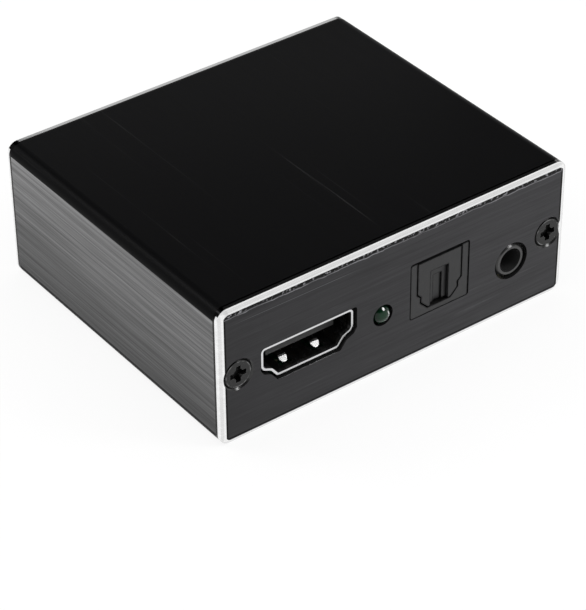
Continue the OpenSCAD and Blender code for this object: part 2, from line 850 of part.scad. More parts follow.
module power_shell() {
    mouth = power_mouth();
    translate([0, power_t + power_h / 2, 0]) {
        difference() {
            inwards(lip_d, power_d) polygon(softened(grown(mouth, power_t), power_soft + power_t));
            inwards(0, power_d + over) polygon(softened(mouth, power_soft));
        }
        power_lip(power_w * lip_share, power_h / 2);
        mirror([0, 1, 0]) power_lip(power_w * power_side_shares[0][0] * lip_share, power_h / 2);
        for (side = [-90, 90]) translate([0, power_h / 4, 0]) rotate([0, 0, side])
            power_lip(power_h / 2 * lip_share, power_w / 2);
    }
    power_legs(0);
}

module power_pins_row() {
    y = power_t + power_h - power_tongue_gap - power_tongue_t + power_pin_t;
    front = power_tongue_back + power_pin_pitch / 2;
    for (i = [0 : power_pins - 1]) translate([(i - (power_pins - 1) / 2) * power_pin_pitch, 0, 0])
        across(power_pin_w) polygon([[front, y - power_pin_t], [power_d, y - power_pin_t], [power_d, 0],
            [power_d + power_pin_foot, 0], [power_d + power_pin_foot, power_pin_t],
            [power_d + power_pin_t, power_pin_t], [power_d + power_pin_t, y], [front, y]]);
}

module power_insulator() {
    difference() {
        translate([0, power_t + power_h / 2, 0]) {
            inwards(power_plug_depth, power_d) polygon(softened(power_mouth(), power_soft));
            translate([0, power_h / 2 - power_tongue_gap - power_tongue_t / 2, 0])
                inwards(power_tongue_back, power_plug_depth + over)
                    centred_square(power_tongue_w, power_tongue_t);
        }
        power_pins_row();
    }
}

module power_socket_shell() { color("#c9cbcc") power_place() power_shell(); }
module power_socket_insulator() { color("#141414") power_place() power_insulator(); }
module power_socket_contacts() { color("#c9a64e") power_place() power_pins_row(); }

// Mode switch

module switch_legs(play) {
    for (side = [-1, 1]) translate([side * (switch_w - switch_sheet) / 2, 0, 0])
        leg(switch_leg_w + 2 * play, switch_sheet + 2 * play, behind + switch_can_d / 2, switch_rise);
}

// Can of folded sheet, open at the back, with the knob's slot in its front
module switch_frame() {
    inner_w = switch_w - 2 * switch_sheet;
    inner_h = switch_h - 2 * switch_sheet;
    color("#aeb0b2") at_input(switch_x) {
        translate([0, switch_h / 2, 0]) difference() {
            inwards(behind, behind + switch_can_d) centred_square(switch_w, switch_h);
            inwards(behind + switch_sheet, behind + switch_can_d + over) centred_square(inner_w, inner_h);
            inwards(behind - over, behind + 2 * switch_sheet) translate([0, switch_rise - switch_h / 2])
                centred_square(knob_w + knob_travel + 2 * knob_play, knob_h + 2 * knob_play);
        }
        switch_legs(0);
    }
}

// Depths of the stack inside the can
slider_front = behind + switch_sheet + slider_play;
slider_back = slider_front + slider_t;
terminal_front = slider_back + bridge_t - bridge_set + slider_play;

module switch_terminal() {
    back = terminal_front + base_t;
    across(terminal_w) polygon([[terminal_front, switch_rise - terminal_t],
        [back, switch_rise - terminal_t], [back, -board_t - leg_below],
        [back + terminal_t, -board_t - leg_below],
        [back + terminal_t, switch_rise], [terminal_front, switch_rise]]);
}

module switch_terminals() {
    color("#c4c6c7") at_input(switch_x)
        for (i = [0 : terminals - 1]) translate([(i - (terminals - 1) / 2) * terminal_pitch, 0, 0])
            switch_terminal();
}

module terminal_holes() {
    depth = terminal_front + base_t + terminal_t / 2;
    for (i = [0 : terminals - 1]) translate([(i - (terminals - 1) / 2) * terminal_pitch, 0, 0])
        leg(terminal_t + 2 * hole_play, terminal_w + 2 * hole_play, depth, 0);
}

module switch_base() {
    inner_w = switch_w - 2 * switch_sheet;
    inner_h = switch_h - 2 * switch_sheet;
    color("#6b4a2c") at_input(switch_x) difference() {
        translate([0, switch_h / 2, 0]) inwards(terminal_front, terminal_front + base_t)
            centred_square(inner_w, inner_h);
        for (i = [0 : terminals - 1]) translate([(i - (terminals - 1) / 2) * terminal_pitch, 0, 0])
            switch_terminal();
    }
}

module switch_knob() {
    knob_front = -knob_reach;
    color("#0f0f10") at_input(switch_x) translate([knob_rest, switch_rise, 0]) difference() {
        union() {
            inwards(knob_front, slider_back) centred_square(knob_w, knob_h);
            inwards(slider_front, slider_back) centred_square(slider_w, slider_h);
        }
        inwards(knob_front - over, knob_front + grip_d) centred_square(grip_w, knob_h + over);
        inwards(slider_back - bridge_set, slider_back + over) centred_square(bridge_w, bridge_h);
    }
}

module switch_bridge() {
    color("#c9a64e") at_input(switch_x) translate([knob_rest, switch_rise, 0])
        inwards(slider_back - bridge_set, slider_back - bridge_set + bridge_t)
            centred_square(bridge_w, bridge_h);
}

// Circuit board and what stands on it

module circuit_board() {
    color("#12402a") difference() {
        translate([-board_w / 2, -board_d / 2, board_z]) cube([board_w, board_d, board_t]);
        video_out_place() video_legs(hole_play);
        at_output(green_lamp_x) lamp_posts(hole_play, 0);
        at_output(optical_x) optical_pegs(hole_play);
        at_output(optical_x) optical_posts(hole_play);
        at_output(jack_x) jack_posts(hole_play);
        video_in_place() video_legs(hole_play);
        at_input(red_lamp_x) lamp_posts(hole_play, 0);
        power_place() power_legs(hole_play);
        at_input(switch_x) switch_legs(hole_play);
        at_input(switch_x) terminal_holes();
    }
}

// Gull-wing leg: foot on the board, riser, shoulder into the body
module wing_leg(w, reach, rise, t) {
    rotate([90, 0, 0]) linear_extrude(w, center = true) polygon([[0, rise], [reach * 2 / 5, rise],
        [reach / 2, t], [reach, t], [reach, 0], [reach * 2 / 5, 0], [reach / 5, rise - t], [0, rise - t]]);
}

// Flat chip with legs on two or four sides
leg_t = 0.15;
leg_reach = 1.1;
leg_w = 0.25;
leg_gap = 0.1;
chip_dot_d = 0.8;
chip_dot_t = 0.1;

module chip(w, d, h, pitch, count_x, count_y) {
    difference() {
        translate([-w / 2, -d / 2, leg_gap]) cube([w, d, h - leg_gap]);
        translate([chip_dot_d - w / 2, d / 2 - chip_dot_d, h - chip_dot_t])
            cylinder(d = chip_dot_d, h = chip_dot_t + over);
    }
    for (side = [0, 1]) mirror([side, 0, 0]) for (i = [0 : 1 : count_y - 1])
        translate([w / 2 - leg_gap, (i - (count_y - 1) / 2) * pitch, 0])
            wing_leg(leg_w, leg_reach, h / 2, leg_t);
    for (side = [0, 1]) mirror([0, side, 0]) for (i = [0 : 1 : count_x - 1])
        translate([(i - (count_x - 1) / 2) * pitch, d / 2 - leg_gap, 0]) rotate([0, 0, 90])
            wing_leg(leg_w, leg_reach, h / 2, leg_t);
}

// Chips: side, height, pitch of the legs, and place as shares of half the board's outline
video_chip_w = 8;
video_chip_h = 1.4;
video_chip_pitch = 0.65;
video_chip_legs = 11;
video_chip_share = [-0.27, 0.05];
audio_chip_w = 4.4;
audio_chip_d = 6.5;
audio_chip_h = 1.1;
audio_chip_legs = 8;
audio_chip_share = [0.4, 0.07];
memory_chip_w = 3.9;
memory_chip_d = 4.9;
memory_chip_h = 1.5;
memory_chip_pitch = 1.27;
memory_chip_legs = 4;
memory_chip_share = [-0.7, -0.165];
// Regulator: body, tab and legs
regulator_w = 6.5;
regulator_d = 3.5;
regulator_h = 1.7;
regulator_tab_w = 3;
regulator_tab = 1.75;
regulator_pitch = 2.3;
regulator_leg_w = 0.7;
regulator_share = [-0.66, 0.5];
// Crystal can: length, width, height, rim
crystal_w = 8;
crystal_d = 3.8;
crystal_h = 3.5;
crystal_round = 1.8;
crystal_rim = 0.4;
crystal_rim_t = 0.5;
crystal_share = [0.17, -0.25];
// Electrolytic capacitors: can, base and bead
can_d = 5;
can_h = 5.4;
can_base = 5.3;
can_base_t = 0.8;
can_groove = 0.25;
can_groove_z = 1.6;
can_shares = [[0.7, 0.5], [0.7, -0.02]];
// Inductor: base and drum
coil_base = 5;
coil_base_t = 1;
coil_drum_d = 4.4;
coil_drum_h = 1.8;
coil_share = [-0.7, 0.14];
// Small parts: length, width and height, and the middles of their rows
small_l = 1.6;
small_w = 0.8;
small_h = 0.5;
small_cap_h = 0.8;
small_pitch = 1.5;
resistor_row_shares = [[-0.3, -0.29], [0.44, 0.34]];
resistors_in_row = 5;
capacitor_row_shares = [[0.1, 0.12], [0.1, 0.27]];
capacitors_in_row = 4;

module on_board(share) {
    translate([share[0] * board_w / 2, share[1] * board_d / 2, board_top]) children();
}

module video_chip() {
    color("#1b1b1c") on_board(video_chip_share)
        chip(video_chip_w, video_chip_w, video_chip_h, video_chip_pitch, video_chip_legs, video_chip_legs);
}

module audio_chip() {
    color("#1b1b1c") on_board(audio_chip_share)
        chip(audio_chip_w, audio_chip_d, audio_chip_h, video_chip_pitch, 0, audio_chip_legs);
}

module memory_chip() {
    color("#1b1b1c") on_board(memory_chip_share)
        chip(memory_chip_w, memory_chip_d, memory_chip_h, memory_chip_pitch, 0, memory_chip_legs);
}

module voltage_regulator() {
    color("#1b1b1c") on_board(regulator_share) {
        translate([-regulator_w / 2, -regulator_d / 2, leg_gap])
            cube([regulator_w, regulator_d, regulator_h - leg_gap]);
        translate([-regulator_tab_w / 2, regulator_d / 2 - leg_gap, 0])
            cube([regulator_tab_w, regulator_tab, leg_t * 2]);
        for (i = [-1, 0, 1]) translate([i * regulator_pitch, leg_gap - regulator_d / 2, 0])
            rotate([0, 0, -90]) wing_leg(regulator_leg_w, regulator_tab, regulator_h / 2, leg_t * 2);
    }
}

module crystal() {
    color("#b9bbbd") on_board(crystal_share) {
        linear_extrude(crystal_rim_t) rounded_rect(crystal_w + 2 * crystal_rim, crystal_d + 2 * crystal_rim,
            crystal_round + crystal_rim);
        linear_extrude(crystal_h) rounded_rect(crystal_w, crystal_d, crystal_round);
    }
}

module electrolytic_capacitors() {
    color("#9fa1a4") for (share = can_shares) on_board(share) {
        translate([-can_base / 2, -can_base / 2, 0]) cube([can_base, can_base, can_base_t]);
        rotate_extrude() difference() {
            square([can_d / 2, can_h]);
            translate([can_d / 2, can_groove_z]) circle(can_groove);
        }
    }
}

module power_inductor() {
    color("#2a2a2b") on_board(coil_share) {
        translate([-coil_base / 2, -coil_base / 2, 0]) cube([coil_base, coil_base, coil_base_t]);
        cylinder(d = coil_drum_d, h = coil_base_t + coil_drum_h);
    }
}

module small_row(share, count, h) {
    for (i = [0 : count - 1]) on_board(share)
        translate([(i - (count - 1) / 2) * small_pitch - small_w / 2, -small_l / 2, 0])
            cube([small_w, small_l, h]);
}

module chip_resistors() {
    color("#202225") for (share = resistor_row_shares) small_row(share, resistors_in_row, small_h);
}

module ceramic_capacitors() {
    color("#a5885f") for (share = capacitor_row_shares) small_row(share, capacitors_in_row, small_cap_h);
}

case_sleeve();
output_plate();
input_plate();
output_plate_screws();
input_plate_screws();
circuit_board();
video_out_shell();
video_out_insulator();
video_out_contacts();
video_in_shell();
video_in_insulator();
video_in_contacts();
optical_housing();
optical_door();
optical_door_pin();
optical_door_spring();
optical_emitter();
optical_leads();
audio_jack_body();
audio_jack_contacts();
power_socket_shell();
power_socket_insulator();
power_socket_contacts();
switch_frame();
switch_base();
switch_terminals();
switch_knob();
switch_bridge();
green_lamp();
red_lamp();
lamp_leads();
video_chip();
audio_chip();
memory_chip();
voltage_regulator();
crystal();
electrolytic_capacitors();
power_inductor();
chip_resistors();
ceramic_capacitors();
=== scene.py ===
"""Looks of the audio extractor box: materials, printed switch numbers, floor, lights and camera."""
import math

import bmesh
import bpy
from mathutils import Matrix, Vector


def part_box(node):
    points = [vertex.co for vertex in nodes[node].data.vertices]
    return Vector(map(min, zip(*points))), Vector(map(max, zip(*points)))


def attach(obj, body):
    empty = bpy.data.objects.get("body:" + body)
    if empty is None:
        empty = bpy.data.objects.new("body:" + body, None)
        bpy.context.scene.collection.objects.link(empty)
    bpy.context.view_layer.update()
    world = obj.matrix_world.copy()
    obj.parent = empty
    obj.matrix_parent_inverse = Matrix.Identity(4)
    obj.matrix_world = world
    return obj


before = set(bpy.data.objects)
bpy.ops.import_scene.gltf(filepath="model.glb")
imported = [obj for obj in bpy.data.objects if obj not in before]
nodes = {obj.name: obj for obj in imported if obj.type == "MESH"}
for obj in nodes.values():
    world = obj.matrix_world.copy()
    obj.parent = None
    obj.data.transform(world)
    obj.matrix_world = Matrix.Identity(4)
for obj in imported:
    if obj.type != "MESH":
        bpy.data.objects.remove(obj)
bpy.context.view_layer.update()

MM = 0.001

# Outline of the case
HALF_W, HALF_D, HEIGHT = 28.5 * MM, 24.5 * MM, 21 * MM
# Heights between which the sleeve's sides are flat and brushed
BRUSHED_LOW, BRUSHED_HIGH = 1.6 * MM, 19.4 * MM
# How far the brushing is raised by bump
BRUSHED_DEPTH = 0.008 * MM

# Zones of the end plates. An inset counts outwards from the bevel's inner edge, a depth backwards
# from the face
BEVEL = 0.7 * MM
BEVEL_ZONE_INSET = -0.8 * MM
OUTER_WALL_INSET = 0.1 * MM
BURR_INSET = -0.13 * MM
BORDER_INSET = -0.42 * MM
HOLLOW_LOW_INSET, HOLLOW_HIGH_INSET = 0.1 * MM, 0.62 * MM
BEYOND_INSET = 1 * MM
POLISHED_DEPTH = 0.8 * MM
DARK_RIM_DEPTH = 0.95 * MM
# Marks, a painted highlight line and a painted glint on the end plates, by their height
STRIP_LOW = HEIGHT - 1.22 * MM
HIGHLIGHT_LINE_LOW, HIGHLIGHT_LINE_HIGH = HEIGHT - 1.42 * MM, HEIGHT - 1.25 * MM
SCRATCH_LOW, SCRATCH_HIGH = 18.26 * MM, 18.36 * MM
SCRATCH_LEFT, SCRATCH_RIGHT = -27 * MM, -6 * MM
LOWER_GLINT_TOP = BEVEL + 0.08 * MM

# Screws: distance of their axes from the middle, and the circles of their heads
SCREW_X = 25.6 * MM
HEAD_RADIUS = 1.93 * MM
HEAD_EDGE_RADIUS = 1.8 * MM
HEAD_GAP_RADIUS = 1.99 * MM

# Axes of the lamps
GREEN_LAMP_X, RED_LAMP_X = -2.6 * MM, -11.2 * MM
LAMP_Z = 9.35 * MM

# Printed numbers at the switch
NUMBER_SIZE = 1.9 * MM
NUMBER_SPACING = 2 * MM
NUMBER_RISE = 2.4 * MM
PRINT_HALF_THICKNESS = 0.008 * MM
PRINT_BOLDNESS = 0.03 * MM

# Floor, a hair below the box so that the two surfaces don't coincide
FLOOR_REACH = 3.0
FLOOR_Z = -0.02 * MM

# Point that every softbox faces
SOFTBOX_AIM = (0, 0, 0.01)
# Softboxes: name, direction, distance, width, height and the brightness that each shows
SOFTBOXES = [
    ("overhead softbox", (0.0, 0.0, 1.0), 0.75, 0.9, 0.9, 0.8),
    ("front right softbox", (0.5, -0.6, 0.6), 0.6, 0.36, 0.36, 0.6),
    ("small front lamp", (0.504, -0.567, 0.652), 0.58, 0.14, 0.14, 14.0),
    ("small rear lamp", (-0.504, 0.567, 0.652), 0.58, 0.14, 0.14, 9.0),
    ("rear left softbox", (-0.5, 0.6, 0.6), 0.6, 0.36, 0.36, 1.1),
    ("left softbox", (-0.95, -0.1, 0.45), 0.7, 0.4, 0.3, 0.7),
    ("low rear panel", (0.027, 0.0645, 0.04), 0.0806, 0.09, 0.014, 0.75),
]

# Camera, from the fit to the photograph's straight edges: its place and the directions of its axes
CAMERA_PLACE = Vector((-173.495, -235.713, 210.185)) * MM
CAMERA_RIGHT = Vector((0.8002, -0.59968, -0.00766))
CAMERA_UP = Vector((0.35957, 0.46951, 0.80639))
CAMERA_BACK = Vector((-0.47998, -0.64803, 0.59133))
CAMERA_SENSOR, CAMERA_LENS = 36.0, 154.178


# Building blocks of a node tree

def give(tree, socket, value):
    """Links an input to a socket, or sets it to a plain value."""
    if isinstance(value, bpy.types.NodeSocket):
        tree.links.new(value, socket)
    else:
        socket.default_value = value


def add(tree, kind, inputs=None, **settings):
    """Adds a node with its settings and inputs."""
    node = tree.nodes.new(kind)
    for name, value in settings.items():
        setattr(node, name, value)
    for name, value in (inputs or {}).items():
        give(tree, node.inputs[name], value)
    return node


def maths(tree, operation, a, b=0.0, clamp=False):
    return add(tree, "ShaderNodeMath", {0: a, 1: b}, operation=operation, use_clamp=clamp).outputs[0]


def times(tree, product, *others):
    for other in others:
        product = maths(tree, "MULTIPLY", product, other)
    return product


def plus(tree, total, *others):
    for other in others:
        total = maths(tree, "ADD", total, other)
    return total


def largest(tree, most, *others):
    for other in others:
        most = maths(tree, "MAXIMUM", most, other)
    return most


def minus(tree, a, b, clamp=False):
    return maths(tree, "SUBTRACT", a, b, clamp=clamp)


def absolute(tree, value):
    return maths(tree, "ABSOLUTE", value)


def sign(tree, value):
    return maths(tree, "SIGN", value)


def above(tree, value, limit):
    return maths(tree, "GREATER_THAN", value, limit)


def below(tree, value, limit):
    return maths(tree, "LESS_THAN", value, limit)


def distance_of(tree, across, up):
    """Straight distance of a point from its two parts."""
    return maths(tree, "SQRT", plus(tree, times(tree, across, across), times(tree, up, up)))


def remap(tree, value, low, high, to_low=0.0, to_high=1.0, smooth=False):
    kind = "SMOOTHSTEP" if smooth else "LINEAR"
    return add(tree, "ShaderNodeMapRange", {0: value, 1: low, 2: high, 3: to_low, 4: to_high},
               interpolation_type=kind).outputs[0]


def scaled(tree, vector, factors):
    return add(tree, "ShaderNodeVectorMath", {0: vector, 1: factors}, operation="MULTIPLY").outputs[0]


def noise(tree, place, scale, detail, roughness=0.5):
    settings = {"Vector": place, "Scale": scale, "Detail": detail, "Roughness": roughness}
    return add(tree, "ShaderNodeTexNoise", settings).outputs["Fac"]


def object_place(tree):
    return add(tree, "ShaderNodeTexCoord").outputs["Object"]


def place_xyz(tree):
    return add(tree, "ShaderNodeSeparateXYZ", {0: object_place(tree)}).outputs


def facing_xyz(tree):
    facing = add(tree, "ShaderNodeNewGeometry").outputs["True Normal"]
    return add(tree, "ShaderNodeSeparateXYZ", {0: facing}).outputs


def depth_behind_face(tree, y):
    """Distance backwards from the face of the nearer end plate."""
    return minus(tree, HALF_D, absolute(tree, y))


# Colours

def grey(level, tint=(1.0, 1.0, 1.0)):
    return (level * tint[0], level * tint[1], level * tint[2], 1.0)


def multiplied(colour, factor):
    return tuple(factor * part for part in colour[:3]) + (1.0,)


def blend_colours(tree, factor, a, b):
    node = add(tree, "ShaderNodeMix", {0: factor, 6: a, 7: b}, data_type="RGBA", blend_type="MIX")
    return node.outputs[2]


def grey_from(tree, level, green=1.0, blue=1.0):
    """Colour from a varying level, its green and blue parts a little stronger or weaker."""
    parts = {0: level, 1: times(tree, level, green), 2: times(tree, level, blue)}
    return add(tree, "ShaderNodeCombineColor", parts).outputs[0]


# Effects that several materials share

def effect_group(name, inputs, outputs):
    """Makes an empty shader node group with its named sockets."""
    tree = bpy.data.node_groups.new(name, "ShaderNodeTree")
    for label, kind, value in inputs:
        socket = tree.interface.new_socket(name=label, in_out="INPUT", socket_type="NodeSocket" + kind)
        socket.default_value = value
    for label in outputs:
        tree.interface.new_socket(name=label, in_out="OUTPUT", socket_type="NodeSocketFloat")
    return tree, tree.nodes.new("NodeGroupInput").outputs, tree.nodes.new("NodeGroupOutput").inputs


def build_brushed_grain():
    """Long parallel scratches of brushed metal. Stretch sets how fine they are along each axis."""
    tree, given, out = effect_group(
        "brushed grain",
        [("Stretch", "Vector", (100.0, 9000.0, 9000.0)), ("Contrast", "Float", 1.0)],
        ["Streaks", "Deep scratches", "Height"])
    stretched = scaled(tree, object_place(tree), given["Stretch"])
    fine = noise(tree, stretched, 1.0, 4.0, 0.65)
    broad = noise(tree, scaled(tree, stretched, (0.35, 0.22, 0.22)), 1.0, 3.0, 0.55)
    sparse = noise(tree, scaled(tree, stretched, (0.5, 0.5, 0.5)), 1.0, 2.0)
    mixed = plus(tree, times(tree, fine, 0.55), times(tree, broad, 0.45))
    centred = times(tree, minus(tree, mixed, 0.5), given["Contrast"])
    tree.links.new(maths(tree, "ADD", centred, 0.5, clamp=True), out["Streaks"])
    tree.links.new(remap(tree, sparse, 0.66, 0.76), out["Deep scratches"])
    tree.links.new(minus(tree, mixed, times(tree, sparse, 0.2)), out["Height"])
    return tree


def build_edge_wear():
    """Mask of the sharp edges, broken up so that it isn't even: worn edges on most parts, edges painted as shadow
    on the optical housing and shutter.
    """
    tree, given, out = effect_group(
        "edge wear and shade",
        [("Radius", "Float", 0.0001), ("Patchiness", "Float", 0.5), ("Patch scale", "Float", 1500.0)],
        ["Wear"])
    rounded = add(tree, "ShaderNodeBevel", {"Radius": given["Radius"]}, samples=4).outputs[0]
    flat = add(tree, "ShaderNodeNewGeometry").outputs["True Normal"]
    likeness = add(tree, "ShaderNodeVectorMath", {0: rounded, 1: flat}, operation="DOT_PRODUCT").outputs["Value"]
    edge = remap(tree, likeness, 0.99, 0.86)
    kept = remap(tree, noise(tree, object_place(tree), given["Patch scale"], 3.0), 0.35, 0.6)
    thinned = plus(tree, times(tree, kept, given["Patchiness"]), minus(tree, 1.0, given["Patchiness"]))
    tree.links.new(maths(tree, "MULTIPLY", edge, thinned, clamp=True), out["Wear"])
    return tree


def build_moulded_grain():
    """Fine even grain and soft clouds, for moulded plastic, plated sheet and uneven marks."""
    tree, given, out = effect_group(
        "moulded grain",
        [("Grain scale", "Float", 6000.0), ("Cloud scale", "Float", 400.0)],
        ["Grain", "Clouds"])
    place = object_place(tree)
    tree.links.new(noise(tree, place, given["Grain scale"], 2.0), out["Grain"])
    tree.links.new(noise(tree, place, given["Cloud scale"], 3.0), out["Clouds"])
    return tree


def build_band():
    """1 between two limits and 0 outside them, with soft ends."""
    tree, given, out = effect_group(
        "band",
        [("Value", "Float", 0.0), ("Low", "Float", 0.0), ("High", "Float", 1.0), ("Softness", "Float", 0.00005)],
        ["Inside"])
    rise = maths(tree, "DIVIDE", minus(tree, given["Value"], given["Low"]), given["Softness"], clamp=True)
    fall = maths(tree, "DIVIDE", minus(tree, given["High"], given["Value"]), given["Softness"], clamp=True)
    tree.links.new(times(tree, rise, fall), out["Inside"])
    return tree


def build_cavity_shade():
    """Painted shade: 1 on open surfaces, falling in gaps and corners where little light reaches."""
    tree, given, out = effect_group(
        "cavity shade", [("Reach", "Float", 0.0006), ("Depth", "Float", 0.8)], ["Open"])
    open_sky = add(tree, "ShaderNodeAmbientOcclusion", {"Distance": given["Reach"]}, samples=6).outputs["AO"]
    closed = times(tree, remap(tree, open_sky, 0.75, 0.2), given["Depth"])
    tree.links.new(minus(tree, 1.0, closed, clamp=True), out["Open"])
    return tree


BRUSHED_GRAIN = build_brushed_grain()
EDGE_WEAR_AND_SHADE = build_edge_wear()
MOULDED_GRAIN = build_moulded_grain()
BAND = build_band()
CAVITY_SHADE = build_cavity_shade()


def use(tree, group, **inputs):
    """Places a group in a material, its inputs named with underscores for spaces."""
    node = tree.nodes.new("ShaderNodeGroup")
    node.node_tree = group
    for name, value in inputs.items():
        give(tree, node.inputs[name.replace("_", " ").capitalize()], value)
    return node.outputs


def inside(tree, value, low, high, softness):
    return use(tree, BAND, value=value, low=low, high=high, softness=softness)["Inside"]


def new_material(name, **plain):
    """A material with its Principled shader, whose plain sockets are named with underscores."""
    material = bpy.data.materials.new(name)
    material.use_nodes = True
    tree = material.node_tree
    shader = tree.nodes["Principled BSDF"]
    for key, value in plain.items():
        shader.inputs[key.replace("_", " ")].default_value = value
    return material, tree, shader.inputs


def raise_surface(tree, shader, height, distance):
    bump = add(tree, "ShaderNodeBump", {"Height": height, "Distance": distance, "Strength": 1.0})
    tree.links.new(bump.outputs[0], shader["Normal"])


# Materials of the case

def sleeve_material():
    """Black anodised sleeve: dark top and bottom with stray scratches, brushed grey sides with painted shade that
    darkens them towards the bottom.
    """
    material, tree, shader = new_material("black sleeve", IOR=1.45, Specular_IOR_Level=0.04)
    x, _, z = place_xyz(tree)
    flat_height = inside(tree, z, BRUSHED_LOW, BRUSHED_HIGH, 0.06 * MM)
    side = times(tree, flat_height, above(tree, absolute(tree, x), HALF_W - 0.5 * MM))
    grain = use(tree, BRUSHED_GRAIN, stretch=(9000.0, 70.0, 9000.0), contrast=2.2)
    coarse = use(tree, BRUSHED_GRAIN, stretch=(3200.0, 30.0, 3200.0), contrast=1.8)
    streaks = times(tree, grain["Streaks"], plus(tree, coarse["Streaks"], 0.5))
    # Painted shade: the sides are darker towards the bottom and lighter towards the top
    rise = remap(tree, z, BRUSHED_LOW, BRUSHED_HIGH, 0.36, 1.15)
    side_level_with_painted_shade = times(tree, remap(tree, streaks, 0.1, 0.9, 0.055, 0.26), rise)
    side_colour = grey_from(tree, side_level_with_painted_shade, blue=1.01)
    stray = times(tree, coarse["Deep scratches"], remap(tree, grain["Streaks"], 0.45, 0.75))
    top_colour = blend_colours(tree, times(tree, stray, 0.6), grey(0.0018, (1, 1, 1.15)), grey(0.04))
    tree.links.new(blend_colours(tree, side, top_colour, side_colour), shader["Base Color"])
    tree.links.new(times(tree, side, 0.9), shader["Metallic"])
    tree.links.new(remap(tree, streaks, 0.0, 1.0, 0.46, 0.34), shader["Roughness"])
    depth = times(tree, grain["Height"], remap(tree, side, 0.0, 1.0, 0.25, 1.0))
    raise_surface(tree, shader, depth, BRUSHED_DEPTH)
    return material


